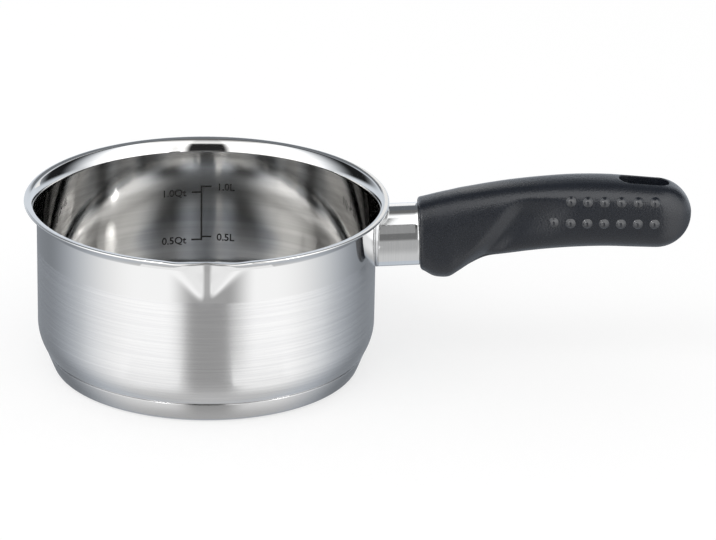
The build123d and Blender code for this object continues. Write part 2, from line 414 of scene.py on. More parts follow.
def pan_profile(inset):
    """Half profile of the pan's wall at this inset, from the floor's middle to the rim."""
    upper_centre = (wall_radius - corner_radius, corner_top)
    away = corner_radius - tuck_radius
    tuck = (upper_centre[0] + away * math.cos(corner_turn), corner_top - away * math.sin(corner_turn))
    steps_out = [math.cos(a) - math.cos(b) for a, b in zip(flare_leans, flare_leans[1:])]
    reach = flare_reach - sheet / 2
    given = crease_radius * steps_out[0] + knee_radius * steps_out[2] + lip_radius * steps_out[3]
    flare_radii = [crease_radius, (reach - given) / steps_out[1], knee_radius, lip_radius]
    centre = (
        wall_radius + reach + lip_radius * math.cos(flare_leans[-1]),
        rim_height - rim_drop - lip_radius * math.sin(flare_leans[-1]),
    )
    bends = []
    for radius, following, lean in zip(flare_radii[::-1], flare_radii[-2::-1] + [0], flare_leans[-2::-1]):
        bends.append((centre, radius, lean))
        shift = radius - following
        centre = (centre[0] - shift * math.cos(lean), centre[1] + shift * math.sin(lean))
    bends = bends[::-1]
    wall = wall_radius - inset
    floor = floor_height + inset
    spout_start = rim_height - spout_depth - spout_margin
    points = [(0, floor)]
    points += ramp(points[-1], (tuck[0], floor), floor_steps)
    points += arc(tuck, tuck_radius - inset, -math.pi / 2, -corner_turn, corner_steps)
    points += arc(upper_centre, corner_radius - inset, -corner_turn, 0, corner_steps)
    points += ramp(points[-1], (wall, spout_start), wall_steps)
    points += ramp(points[-1], (wall, bends[0][0][1]), spout_steps)
    for (middle, radius, lean), end, steps in zip(bends, flare_leans[1:], flare_steps):
        points += arc(middle, radius + inset, math.pi - lean, math.pi - end, steps)
    return points


def lip(start, end, steps):
    """Half round that joins the ends of two profile lines, without its ends."""
    centre = [(a + b) / 2 for a, b in zip(start, end)]
    reach = math.dist(start, end) / 2
    turn = math.atan2(start[1] - centre[1], start[0] - centre[0])
    points = arc(centre, reach, turn, turn - math.pi, steps)
    return points[:-1]


def profile_mesh(name, points, insets):
    """Chain of points in the XZ plane that carries how deep in the sheet each one lies."""
    mesh = bpy.data.meshes.new(name)
    edges = [(step, step + 1) for step in range(len(points) - 1)]
    mesh.from_pydata([(r, 0, z) for r, z in points], edges, [])
    depth = mesh.attributes.new("inset", "FLOAT", "POINT")
    depth.data.foreach_set("value", insets)
    return mesh


def new_group(name, inputs):
    """Empty geometry tree with these named inputs, and the identifier of each."""
    group = bpy.data.node_groups.new(name, "GeometryNodeTree")
    names = {}
    for title, kind in inputs.items():
        names[title] = group.interface.new_socket(title, in_out="INPUT", socket_type=kind).identifier
    group.interface.new_socket("Geometry", in_out="OUTPUT", socket_type="NodeSocketGeometry")
    return group, names


def turned_group():
    """Group that turns a profile about the upright axis, with its columns crowded towards the spout."""
    group, _ = new_group(
        "turned",
        {"Profile": "NodeSocketGeometry", "Columns": "NodeSocketInt", "Crowding": "NodeSocketFloat"},
    )
    tree = Tree(group)
    given = tree.add("NodeGroupInput")
    profile = given.out("Profile")
    rows = tree.add("GeometryNodeAttributeDomainSize", {"component": "MESH"}, {0: profile})
    columns = given.out("Columns")
    grid = tree.add("GeometryNodeMeshGrid", {}, {"Vertices X": columns + 1, "Vertices Y": rows})
    index = tree.add("GeometryNodeInputIndex")
    row = index % rows
    column = (index - row) / rows
    place = tree.add("GeometryNodeInputPosition")
    sampled = tree.add(
        "GeometryNodeSampleIndex",
        {"data_type": "FLOAT_VECTOR"},
        {"Geometry": profile, "Value": place, "Index": row},
    )
    inset = tree.add("GeometryNodeInputNamedAttribute", {"data_type": "FLOAT"}, {"Name": "inset"})
    depth = tree.add(
        "GeometryNodeSampleIndex",
        {"data_type": "FLOAT"},
        {"Geometry": profile, "Value": inset, "Index": row},
    )
    radius, _, height = tree.split(sampled)
    share = column / columns * 2 - 1
    crowding = given.out("Crowding")
    turn = math.pi * (crowding * share + (1 - crowding) * share**3)
    spot = tree.joined(radius * turn.math("SINE"), -(radius * turn.math("COSINE")), height)
    placed = tree.add("GeometryNodeSetPosition", {}, {"Geometry": grid, "Position": spot})
    marked = tree.add(
        "GeometryNodeStoreNamedAttribute",
        {"data_type": "FLOAT", "domain": "POINT"},
        {"Geometry": placed, "Name": "inset", "Value": depth},
    )
    tree.add("NodeGroupOutput", {}, {0: marked})
    return group


turned = turned_group()
merge_distance = 0.01 * mm


def turn_profile(tree, profile, columns, crowding):
    """The turned group, run inside another tree."""
    return tree.add("GeometryNodeGroup", {"node_tree": turned}, {0: profile, 1: columns, 2: crowding})


def finish_tree(tree, geometry, material):
    """Ends a tree: doubles merged, shaded smooth, instances made real and the material set."""
    merged = tree.add(
        "GeometryNodeMergeByDistance", {}, {"Geometry": geometry, "Distance": merge_distance}
    )
    smooth = tree.add("GeometryNodeSetShadeSmooth", {}, {"Geometry": merged, "Shade Smooth": True})
    real = tree.add("GeometryNodeRealizeInstances", {}, {"Geometry": smooth})
    painted = tree.add("GeometryNodeSetMaterial", {}, {"Geometry": real, "Material": material})
    tree.add("NodeGroupOutput", {}, {0: painted})


def add_object(name, mesh):
    """New object at the origin with this mesh."""
    piece = bpy.data.objects.new(name, mesh)
    bpy.context.collection.objects.link(piece)
    return piece


def face_out(mesh):
    """Turns every face of a closed mesh outwards."""
    work = bmesh.new()
    work.from_mesh(mesh)
    bmesh.ops.recalc_face_normals(work, faces=work.faces)
    if work.calc_volume(signed=True) < 0:
        bmesh.ops.reverse_faces(work, faces=work.faces)
    work.to_mesh(mesh)
    work.free()


def plain_mesh(piece):
    """Makes what the modifiers of a piece give its own plain mesh, and drops the modifiers."""
    bpy.context.view_layer.update()
    shaped = piece.evaluated_get(bpy.context.evaluated_depsgraph_get())
    mesh = bpy.data.meshes.new_from_object(shaped, depsgraph=bpy.context.evaluated_depsgraph_get())
    mesh.name = piece.name
    piece.modifiers.clear()
    piece.data = mesh


def grow(piece, group, names, values):
    """Runs a geometry tree on a piece, with the values of its named inputs."""
    growth = piece.modifiers.new("growth", "NODES")
    growth.node_group = group
    for title, value in values.items():
        growth[names[title]] = value
    plain_mesh(piece)
    face_out(piece.data)


# The brushed lower wall has fine level lines in tone and roughness, the inside has broader ones, and the
# floor is turned, with a rougher middle painted darker and bluer: a painted reflection of a dark ceiling. A
# streak is its grain along it, that across it and its detail.
steel_colour = (0.66, 0.66, 0.66, 1)
brushed_colour = (0.615, 0.615, 0.62, 1)
inside_colour = (0.70, 0.695, 0.685, 1)
streak_colour = (0.60, 0.595, 0.585, 1)
# Painted reflection: the floor's middle is painted darker and bluer than the rest of the inside, with turned
# rings in it
painted_reflection_dark, painted_reflection_light = (0.40, 0.41, 0.43, 1), (0.52, 0.53, 0.55, 1)
painted_reflection_edge = (30 * mm, 38 * mm)
satin_edge = rim_height - 21.3 * mm
satin_soft = 0.4 * mm
turned_edge = (floor_height + 3 * mm, floor_height + 1 * mm)
floor_edge = (floor_height + 9 * mm, floor_height + 3 * mm)
wall_relief, relief_height = 0.03, 0.02 * mm
wall_stretch, stretch_turn = 0.85, 0.25

line_streak, cloud_streak, brush_streak = (9, 2300, 1.5), (30, 260, 3.0), (14, 1300, 3.0)
hoop_streak, ring_streak = (6, 420, 3.0), (20, 3000, 3.0)
brush_edge, hoop_edge = (0.34, 0.66), (0.30, 0.70)
polished_rough, satin_rough, middle_rough = 0.05, 0.10, 0.30
line_rough, cloud_rough, inside_rough, ring_rough = 0.05, 0.03, 0.02, 0.10
ring_share = 0.5


def streaks(tree, x, y, across, streak):
    """Noise drawn out round the axis into fine lines."""
    coarse, fine, detail = streak
    return tree.noise(tree.joined(x * coarse, y * coarse, across * fine), detail)


pan_steel, steel = new_material("pan_steel")
x, y, z = steel.split(steel.here())
from_axis = (x * x + y * y).math("SQRT")
depth = steel.add("ShaderNodeAttribute", {"attribute_name": "inset"}).out("Fac")
inside = depth > sheet / 2
lines = streaks(steel, x, y, z, line_streak)
cloud = streaks(steel, x, y, z, cloud_streak)
brush = streaks(steel, x, y, z, brush_streak)
hoops = streaks(steel, x, y, z, hoop_streak)
rings = streaks(steel, x, y, from_axis, ring_streak)
turned_floor = steel.ease(z, *turned_edge)
satin = steel.ease(z, satin_edge + satin_soft, satin_edge - satin_soft) * (1 - inside)
satin_floor = steel.ease(z, *floor_edge) * inside
rough = polished_rough + satin * (satin_rough + lines * line_rough + cloud * cloud_rough)
rough = rough + inside * (inside_rough * lines)
grain = lines * satin + rings * turned_floor * inside * ring_share
bump = steel.bump(wall_relief, relief_height, grain)
brushed = steel.mix(steel.ease(brush, *brush_edge), brushed_colour, steel_colour)
outside = steel.mix(satin, steel_colour, brushed)
worn_inside = steel.mix(steel.ease(hoops, *hoop_edge), streak_colour, inside_colour)
colour = steel.mix(inside, outside, worn_inside)
wall_look = steel.principled(
    {
        "Base Color": colour,
        "Metallic": 1.0,
        "Roughness": rough,
        "Anisotropic": wall_stretch,
        "Anisotropic Rotation": stretch_turn,
        "Normal": bump,
    },
)
floor_rough = middle_rough + ring_rough * rings
# The middle of the floor gets the painted reflection, which fades out to the inside's own colour
painted_reflection_middle = steel.mix(rings, painted_reflection_dark, painted_reflection_light)
floor_colour = steel.mix(steel.ease(from_axis, *painted_reflection_edge), painted_reflection_middle, worn_inside)
floor_look = steel.principled(
    {"Base Color": floor_colour, "Metallic": 1.0, "Roughness": floor_rough, "Normal": bump}
)
steel.finish(steel.add("ShaderNodeMixShader", {}, {0: satin_floor, 1: wall_look, 2: floor_look}))


def pan_group():
    """Group that turns the pan's profile and presses the spout into it."""
    group, names = new_group(
        "pan",
        {
            "Profile": "NodeSocketGeometry",
            "Columns": "NodeSocketInt",
            "Crowding": "NodeSocketFloat",
            "Spout depth": "NodeSocketFloat",
            "Spout half width": "NodeSocketFloat",
            "Spout blend": "NodeSocketFloat",
        },
    )
    tree = Tree(group)
    given = tree.add("NodeGroupInput")
    shell = turn_profile(tree, given.out("Profile"), given.out("Columns"), given.out("Crowding"))
    x, y, z = tree.split(tree.add("GeometryNodeInputPosition"))
    inset = tree.add("GeometryNodeInputNamedAttribute", {"data_type": "FLOAT"}, {"Name": "inset"})
    reach = (x * x + y * y).math("SQRT")
    spout_drop = given.out("Spout depth")
    half = given.out("Spout half width")
    side = wall_radius - (wall_radius**2 - half * half).math("SQRT")
    slope = flare_reach / spout_drop
    fall = (flare_reach + side) / half
    thick = (fall * fall + 1 + slope * slope).math("SQRT")
    tip = rim_height - spout_drop
    bow = ((x / reach) ** 2 + spout_nose**2).math("SQRT") - spout_nose / 2
    facet = (wall_radius + slope * (z - tip) - inset * thick) / (fall * bow - y / reach)
    pressed = reach.math("SMOOTH_MAX", facet, given.out("Spout blend"))
    near_spout = (z > tip - spout_fade) * (y < 0) * (abs(x / reach) < spout_reach)
    grown = 1 + (pressed / reach - 1) * near_spout
    near_rim = tree.ease(z, rim_height - flare_reach, rim_height)
    across = x * grown
    hump = wave_rise * (-((across / wave_width) ** 2)).math("EXPONENT")
    dip = wave_dip * (-(((abs(across) - dip_place) / wave_width) ** 2)).math("EXPONENT")
    wave = (hump - dip) * near_rim * (y < 0)
    spot = tree.joined(across, y * grown, z + wave)
    shaped = tree.add("GeometryNodeSetPosition", {}, {"Geometry": shell, "Position": spot})
    finish_tree(tree, shaped, pan_steel)
    return group, names


outer_line = pan_profile(0)
inner_line = pan_profile(sheet)
for step in range(1, bead_steps + 1):
    reach, top = outer_line[-step]
    outer_line[-step] = (reach, top - bead_drop * (1 - step / (bead_steps + 1)) ** 2)
rim_line = lip(inner_line[-1], outer_line[-1], rim_steps)[::-1]
pan_line = outer_line + rim_line + inner_line[::-1]
rim_insets = [sheet * (step + 1) / (len(rim_line) + 1) for step in range(len(rim_line))]
pan_insets = [0.0] * len(outer_line) + rim_insets + [sheet] * len(inner_line)
pan_values = {
    "Columns": pan_columns,
    "Crowding": pan_crowding,
    "Spout depth": spout_depth,
    "Spout half width": spout_half_width,
    "Spout blend": spout_blend,
}
pan_body = add_object("pan_shell", profile_mesh("pan_profile", pan_line, pan_insets))
grow(pan_body, *pan_group(), pan_values)
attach(pan_body, "root")
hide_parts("pan_body")

# Volume scale
# Two scales, in litres and in quarts, on both sides of one upright line. They are printed in dark ink on the
# back of the inner wall, and stand just clear of the flat facets of its mesh.
ink_height = 0.03 * mm
ink_radius = wall_radius - sheet
stroke = 0.85 * mm
scale_place = -2.7 * mm
litre_ticks = {"0.5L": 33.1 * mm, "1.0L": 59.8 * mm}
quart_ticks = {"0.5Qt": 31.6 * mm, "1.0Qt": 56.8 * mm}
tick_length = 5.0 * mm
label_size = 5.2 * mm
label_gap = 2.6 * mm
label_drop = 0.4 * mm
label_weight = 0.10 * mm
ink_lift = 0.02 * mm
ink_dark, ink_light = (0.012, 0.012, 0.011, 1), (0.03, 0.029, 0.028, 1)
ink_shine = 0.2
ink_smooth, speckle_rough, speckle_scale = 0.55, 0.2, 2500.0


def wrap(mesh):
    """Bends a flat print, drawn facing -Y, round the inside of the wall."""
    for vertex in mesh.vertices:
        turn = vertex.co.x / ink_radius
        radius = ink_radius - ink_lift + vertex.co.y
        vertex.co = (radius * math.sin(turn), radius * math.cos(turn), vertex.co.z)


def bar(work, low, high):
    """Thin inked bar between two corners of the print."""
    made = bmesh.ops.create_cube(work, size=1)
    for vertex in made["verts"]:
        vertex.co.x = low[0] if vertex.co.x < 0 else high[0]
        vertex.co.z = low[1] if vertex.co.z < 0 else high[1]
        vertex.co.y = -ink_height if vertex.co.y < 0 else 0


def label(work, text, x, z, align):
    """Printed words of the scale, beside their tick."""
    curve = bpy.data.curves.new("label", "FONT")
    curve.body = text
    curve.size = label_size
    curve.align_x = align
    curve.align_y = "CENTER"
    curve.extrude = ink_height / 2
    curve.offset = label_weight
    curve.resolution_u = 4
    words = add_object("label", curve)
    mesh = bpy.data.meshes.new_from_object(words)
    for vertex in mesh.vertices:
        vertex.co = (vertex.co.x + x, -vertex.co.z - ink_height / 2, vertex.co.y + z)
    work.from_mesh(mesh)
    bpy.data.objects.remove(words)


print_work = bmesh.new()
highest = max(*litre_ticks.values(), *quart_ticks.values())
lowest = min(*litre_ticks.values(), *quart_ticks.values())
half_stroke = stroke / 2
bar(
    print_work,
    (scale_place - half_stroke, lowest - half_stroke),
    (scale_place + half_stroke, highest + half_stroke),
)
for text, tick in litre_ticks.items():
    bar(print_work, (scale_place, tick - half_stroke), (scale_place + tick_length, tick + half_stroke))
    label(print_work, text, scale_place + tick_length + label_gap, tick - label_drop, "LEFT")
for text, tick in quart_ticks.items():
    bar(print_work, (scale_place - tick_length, tick - half_stroke), (scale_place, tick + half_stroke))
    label(print_work, text, scale_place - tick_length - label_gap, tick - label_drop, "RIGHT")
print_mesh = bpy.data.meshes.new("volume_scale")
bmesh.ops.remove_doubles(print_work, verts=print_work.verts, dist=merge_distance / 10)
print_work.to_mesh(print_mesh)
print_work.free()
wrap(print_mesh)
volume_scale = add_object("volume_scale", print_mesh)
ink, dark = new_material("scale_ink")
speckle = dark.noise(dark.here(), 2.0, speckle_scale)
ink_tone = dark.mix(speckle, ink_dark, ink_light)
ink_rough = ink_smooth + speckle * speckle_rough
sockets = {"Base Color": ink_tone, "Roughness": ink_rough, "Specular IOR Level": ink_shine}
dark.finish(dark.principled(sockets))
print_mesh.materials.append(ink)
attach(volume_scale, "root")

# Base capsule
# A shallow cup of magnetic stainless steel, pressed over the aluminium heat spreader. Its rolled lip closes
# on the pan's corner and leaves the groove that shows above it. The side is polished, the underside turned.
cap_sheet = 0.6 * mm
cap_top_radius = 76.9 * mm
cap_foot_radius = 72.9 * mm
cap_corner = 3 * mm
cap_lip = 0.28 * mm
cap_lip_inset = 0.12 * mm
cap_columns = 256
cap_foot_steps, cap_corner_steps, cap_lip_steps = 12, 8, 6
cap_colour = (0.50, 0.50, 0.50, 1)
cap_relief = 0.15
turned_foot = (1.2 * mm, 0.4 * mm)
turning_streak, side_streak = (10, 2200, 4.0), (14, 2600, 4.0)
cap_smooth, cap_uneven, under_rough = 0.16, 0.10, 0.10


def cap_profile():
    """Closed line of the capsule's skin, from the middle of its underside round to the inside."""
    lean = math.atan2(cap_top_radius - cap_foot_radius, groove_height)
    slope = math.tan(lean)
    across = math.cos(lean)
    centre = (cap_foot_radius + cap_corner * slope - cap_corner / across, cap_corner)
    outer = [(0, 0)]
    outer += ramp(outer[-1], (centre[0], 0), cap_foot_steps)
    outer += arc(centre, cap_corner, -math.pi / 2, -lean, cap_corner_steps)
    lip_height = groove_height - cap_lip
    lip_centre = (cap_foot_radius + lip_height * slope - cap_lip / across, lip_height)
    outer += arc(lip_centre, cap_lip, -lean, math.pi / 2, cap_lip_steps)
    inner = [(0, cap_sheet)]
    inner += ramp(inner[-1], (centre[0], cap_sheet), cap_foot_steps)
    inner += arc(centre, cap_corner - cap_sheet, -math.pi / 2, -lean, cap_corner_steps)
    inner_top = groove_height - cap_sheet
    inner += [(cap_foot_radius + inner_top * slope - cap_sheet / across, inner_top)]
    inner += [(lip_centre[0] - cap_lip_inset, groove_height)]
    return outer + inner[::-1]


cap_steel, base = new_material("base_steel")
x, y, z = base.split(base.here())
from_middle = (x * x + y * y).math("SQRT")
turning = streaks(base, x, y, from_middle, turning_streak)
side_lines = streaks(base, x, y, z, side_streak)
under = base.ease(z, *turned_foot)
cap_grain = side_lines + (turning - side_lines) * under
cap_rough = cap_smooth + cap_uneven * cap_grain + under_rough * under
cap_bump = base.bump(cap_relief, relief_height, cap_grain)
cap_look = base.principled(
    {
        "Base Color": cap_colour,
        "Metallic": 1.0,
        "Roughness": cap_rough,
        "Anisotropic": wall_stretch,
        "Anisotropic Rotation": stretch_turn,
        "Normal": cap_bump,
    }
)
base.finish(cap_look)


def cap_group():
    """Group that turns the capsule's profile."""
    group, names = new_group(
        "capsule",
        {"Profile": "NodeSocketGeometry", "Columns": "NodeSocketInt", "Crowding": "NodeSocketFloat"},
    )
    tree = Tree(group)
    given = tree.add("NodeGroupInput")
    shell = turn_profile(tree, given.out("Profile"), given.out("Columns"), given.out("Crowding"))
    finish_tree(tree, shell, cap_steel)
    return group, names


cap_line = cap_profile()
base_cap = add_object("base_capsule", profile_mesh("cap_profile", cap_line, [0.0] * len(cap_line)))
grow(base_cap, *cap_group(), {"Columns": cap_columns, "Crowding": 1.0})
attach(base_cap, "root")
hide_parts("base_cap")

# Neck sleeve
# An oval tube of polished stainless steel between the wall and the grip, scribed to the wall and to the
# underside of the rim. Its far end has a small rounded lip that bears on the grip.
neck_height = 65.2 * mm
neck_tilt = math.radians(3)
neck_length = 20.5 * mm
sleeve_half_height = 15.5 * mm
sleeve_half_width = 11 * mm
sleeve_sheet = 0.8 * mm
sleeve_seat = 0.1 * mm
sleeve_points = 128
sleeve_rows, sleeve_lip_rows, sleeve_inner_rows = 10, 6, 4
scribe_tries = 40
# The sleeve's steel is painted lighter than the pan's, as painted light for the lit table close before it;
# its polish varies between these two tones
sleeve_painted_light_dull, sleeve_painted_light_bright = (0.69, 0.70, 0.71, 1), (0.81, 0.81, 0.81, 1)
polish_fine, polish_coarse, polish_detail = 2500, 40, 3.0
sleeve_smooth, polish_rough = 0.06, 0.05
neck_axis = Vector((math.cos(neck_tilt), 0, math.sin(neck_tilt)))
neck_up = Vector((-math.sin(neck_tilt), 0, math.cos(neck_tilt)))
neck_root = Vector((wall_radius, 0, neck_height))


def on_neck(along, side, up):
    """Point in the frame of the tilted neck, from where its axis leaves the wall."""
    return neck_root + neck_axis * along + Vector((0, side, 0)) + neck_up * up


def pan_reach(height):
    """Outer radius of the pan at this height, in its upper half."""
    line = [point for point in outer_line if point[1] > rim_height / 2]
    for (r0, z0), (r1, z1) in zip(line, line[1:]):
        if z0 <= height <= z1 and z1 > z0:
            return r0 + (r1 - r0) * (height - z0) / (z1 - z0)
    return wall_radius


def scribe(side, up):
    """How far along the neck this line of the tube leaves the pan."""
    low, high = -neck_length, neck_length
    for _ in range(scribe_tries):
        middle = (low + high) / 2
        spot = on_neck(middle, side, up)
        if math.hypot(spot.x, spot.y) < pan_reach(spot.z) + sleeve_seat:
            low = middle
        else:
            high = middle
    return high


def sleeve_ring(inset, along, share):
    """One ring of the tube, this share of the way from the wall to a place along the neck."""
    ring = []
    for step in range(sleeve_points):
        turn = 2 * math.pi * step / sleeve_points
        side = (sleeve_half_width - inset) * math.cos(turn)
        up = (sleeve_half_height - inset) * math.sin(turn)
        start = scribe(side, up)
        ring.append(on_neck(start + (along - start) * share, side, up))
    return ring


def loop_mesh(name, rings, close_ends):
    """Mesh of quads through rings of as many points, joined end to end or capped."""
    count = len(rings[0])
    faces = []
    spans = range(len(rings) - 1) if close_ends else range(len(rings))
    for row in spans:
        following = (row + 1) % len(rings)
        for step in range(count):
            beside = (step + 1) % count
            corners = ((row, step), (row, beside), (following, beside), (following, step))
            faces.append(tuple(ring * count + place for ring, place in corners))
    if close_ends:
        faces.append(tuple(range(count)))
        faces.append(tuple(range((len(rings) - 1) * count, len(rings) * count)))
    mesh = bpy.data.meshes.new(name)
    mesh.from_pydata([tuple(point) for ring in rings for point in ring], [], faces)
    mesh.polygons.foreach_set("use_smooth", [True] * len(mesh.polygons))
    face_out(mesh)
    return mesh


lip_round = sleeve_sheet / 2
lip_start = neck_length - lip_round
sleeve_rings = [sleeve_ring(0, lip_start, row / sleeve_rows) for row in range(sleeve_rows + 1)]
for row in range(1, sleeve_lip_rows):
    turn = math.pi * row / sleeve_lip_rows
    inset = lip_round * (1 - math.cos(turn))
    sleeve_rings.append(sleeve_ring(inset, lip_start + lip_round * math.sin(turn), 1))
for row in range(sleeve_inner_rows + 1):
    sleeve_rings.append(sleeve_ring(sleeve_sheet, lip_start, 1 - row / sleeve_inner_rows))
neck_sleeve = add_object("flame_sleeve", loop_mesh("flame_sleeve", sleeve_rings, False))
sleeve_steel, tube = new_material("sleeve_steel")
x, y, z = tube.split(tube.here())
hoop_place = tube.joined(x * polish_fine, y * polish_coarse, z * polish_coarse)
polish = tube.noise(hoop_place, polish_detail)
# Polish tone over the painted light of the sleeve
sleeve_tone_and_painted_light = tube.mix(polish, sleeve_painted_light_dull, sleeve_painted_light_bright)
sleeve_rough = sleeve_smooth + polish_rough * polish
tube.finish(tube.principled({"Base Color": sleeve_tone_and_painted_light, "Metallic": 1.0, "Roughness": sleeve_rough}))
neck_sleeve.data.materials.append(sleeve_steel)
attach(neck_sleeve, "root")
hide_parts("neck_sleeve")

# Bracket, screw, washer, nut and heat spreader
# The pressed steel bracket is spot welded to the wall and runs through the sleeve into the grip, where a
# zinc plated screw, spring washer and square nut hold it. The aluminium disc lies inside the base capsule.
metal_relief, metal_depth = 0.2, 0.03 * mm
metal_uneven = 0.12
stain_size = 8


def worked_metal(name, colour, rough, scale, wear):
    """Metal with a fine grain of this scale and a little wear."""
    material, tree = new_material(name)
    spot = tree.here()
    grain = tree.noise(spot, 4.0, scale)
    stain = tree.noise(spot, 3.0, scale / stain_size)
    worn = tuple(part * (1 - wear) for part in colour)
    tone = tree.mix(stain, (*colour, 1), (*worn, 1))
    bump = tree.bump(metal_relief, metal_depth, grain)
    uneven = rough + metal_uneven * grain
    tree.finish(
        tree.principled({"Base Color": tone, "Metallic": 1.0, "Roughness": uneven, "Normal": bump})
    )
    return material


# Colour, roughness, fineness of the grain and share of wear
inner_metals = {
    "handle_bracket": worked_metal("bracket_steel", (0.56, 0.55, 0.54), 0.34, 900.0, 0.15),
    "grip_screw": worked_metal("zinc_plate", (0.70, 0.71, 0.72), 0.24, 1200.0, 0.08),
    "heat_spreader": worked_metal("spreader_aluminium", (0.76, 0.77, 0.78), 0.40, 700.0, 0.10),
}
inner_metals["lock_washer"] = inner_metals["grip_screw"]
inner_metals["bracket_nut"] = inner_metals["grip_screw"]
for node, material in inner_metals.items():
    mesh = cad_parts[node].data
    mesh.materials.clear()
    mesh.materials.append(material)

# Grip
# A solid moulding of black phenolic with a fine satin grain. It has a finger guard, a soft hollow behind it
# on both sides, a crowned top, a rounded tail with a hanging slot, and a bore for the screw that holds it.
grip_length = 150.4 * mm
grip_reach = 49.7 * mm
grip_width = 28.6 * mm
grip_low = 45.7 * mm
tail_length = 17.1 * mm
fullness = 2.8
front_round = 1.2 * mm
front_blend = 22 * mm
front_rings, tail_rings = 4, 22
ring_points = 112
lean_tries = 4
grip_step = 0.9 * mm
hollow_depth = 2.6 * mm
hollow_lean = math.radians(35)
hollow_x, hollow_z = 141 * mm, 75 * mm
hollow_rise = (-5.5 * mm, 3 * mm)
hollow_fade = (6 * mm, 26 * mm)
hollow_top = (80 * mm, 90 * mm)
scoop_start = (2 * mm, 9 * mm)
scoop_top = (56 * mm, 76 * mm)
hollow_spread = 1.6
slot_length = 24 * mm
slot_width = 10.5 * mm
slot_margin = 23.2 * mm
slot_round = 0.5 * mm
slot_points = 64
mouth_steps = 5
mouth_turn = math.radians(66)
skin_limit = 0.99
cutter_proud, cutter_over = 0.35 * mm, 4 * mm
screw_place = 31.5 * mm
screw_bore = 2.8 * mm
bore_over = 1 * mm
recess_bore = 5.3 * mm
recess_foot = -40 * mm
screw_seat = -12.5 * mm
rod_points = 48
tang_length = 45 * mm
socket_half_width = 5.95 * mm
socket_foot, socket_top = -5.5 * mm, 5.65 * mm
socket_play = 0.3 * mm
spigot_length = 6 * mm
spigot_play = 0.3 * mm
spigot_points = 64
edge_angle = math.radians(32)

grip_end = wall_radius + grip_length
tail_start = grip_end - tail_length

# Stations along the grip: share of its length, top and bottom over its reach, and width
grip_station_shares = (
    (0.080, 0.718, 0.190, 0.86),
    (0.112, 0.744, 0.120, 0.87),
    (0.155, 0.777, 0.058, 0.90),
    (0.182, 0.800, 0.011, 0.91),
    (0.208, 0.820, -0.003, 0.92),
    (0.235, 0.839, 0.004, 0.92),
    (0.261, 0.859, 0.053, 0.91),
    (0.301, 0.882, 0.136, 0.90),
    (0.354, 0.912, 0.213, 0.89),
    (0.428, 0.948, 0.251, 0.90),
    (0.527, 0.982, 0.292, 0.92),
    (0.627, 1.002, 0.320, 0.97),
    (0.727, 1.002, 0.332, 0.99),
    (0.820, 0.983, 0.327, 1.00),
    (0.886, 0.967, 0.323, 1.00),
)
tail_centre_share = 0.645
tail_half_share = 0.322


def smooth_between(share, column):
    """Value of one column of the stations at this share of the length, on a smooth curve."""
    stations = grip_station_shares
    last = len(stations) - 2
    place = next((i for i in range(last) if share < stations[i + 1][0]), last)
    before, start = stations[max(place - 1, 0)], stations[place]
    end, after = stations[place + 1], stations[min(place + 2, last + 1)]
    span = end[0] - start[0]
    blend = (share - start[0]) / span
    leave = (end[column] - before[column]) / (end[0] - before[0]) * span
    arrive = (after[column] - start[column]) / (after[0] - start[0]) * span
    square, cube = blend**2, blend**3
    value = start[column] * (2 * cube - 3 * square + 1) + leave * (cube - 2 * square + blend)
    return value + end[column] * (3 * square - 2 * cube) + arrive * (cube - square)


def grip_form(x):
    """Middle height, half height and half width of the grip at this place."""
    if x > tail_start:
        share = min((x - tail_start) / tail_length, 1)
        size = math.sqrt(max(1 - share**2, 0))
        middle = grip_low + tail_centre_share * grip_reach
        return middle, tail_half_share * grip_reach * size, grip_width / 2 * size
    share = (x - wall_radius) / grip_length
    top = grip_low + smooth_between(share, 1) * grip_reach
    bottom = grip_low + smooth_between(share, 2) * grip_reach
    return (top + bottom) / 2, (top - bottom) / 2, smooth_between(share, 3) * grip_width / 2


def full_power(value):
    """Signed power that fills an oval out towards a rounded block."""
    return math.copysign(abs(value) ** (2 / fullness), value)


def ease(value, start, end):
    """0 before start, 1 past end and a smooth rise between."""
    share = min(max((value - start) / (end - start), 0), 1)
    return share * share * (3 - 2 * share)


def hollow(x, z):
    """Depth of the soft hollow behind the guard, along a ridge that leans back."""
    along = (x - hollow_x) * math.cos(hollow_lean) - (z - hollow_z) * math.sin(hollow_lean)
    begun = ease(along, *hollow_rise) * (1 - ease(along, *hollow_fade)) * (1 - ease(z, *hollow_top))
    scooped = ease(along, *scoop_start) * (1 - ease(z, *scoop_top))
    return hollow_depth * begun * (1 - scooped)


def grip_ring(base_x, inset):
    """Ring of the grip: square to the neck at the front and upright further back."""
    sleeve_end = neck_root.x + neck_length
    front_share = 1 - ease(base_x, sleeve_end, sleeve_end + front_blend)
    ring = []
    for step in range(ring_points):
        turn = 2 * math.pi * step / ring_points
        x = base_x
        for _ in range(lean_tries):
            middle, half_height, half_width = grip_form(x)
            z = middle + (half_height - inset) * full_power(math.sin(turn))
            x = base_x - front_share * (z - neck_height) * math.tan(neck_tilt)
        y = (half_width - inset) * full_power(math.cos(turn))
        y -= math.copysign(hollow(x, z), y) * min(1, abs(y) / half_width * hollow_spread) ** 3
        ring.append((x, y, z))
    return ring


grip_front = neck_root.x + neck_length / math.cos(neck_tilt)
rings = []
for step in range(front_rings + 1):
    turn = math.pi / 2 * step / front_rings
    place = grip_front + front_round * (1 - math.cos(turn))
    rings.append(grip_ring(place, front_round * (1 - math.sin(turn))))
body_start = grip_front + front_round
body_rings = int((tail_start - grip_front - front_round) / grip_step)
for step in range(1, body_rings + 1):
    rings.append(grip_ring(body_start + (tail_start - body_start) * step / body_rings, 0))
for step in range(1, tail_rings):
    rings.append(grip_ring(tail_start + tail_length * math.sin(math.pi / 2 * step / tail_rings), 0))
grip = add_object("grip_body", loop_mesh("grip_body", rings, True))


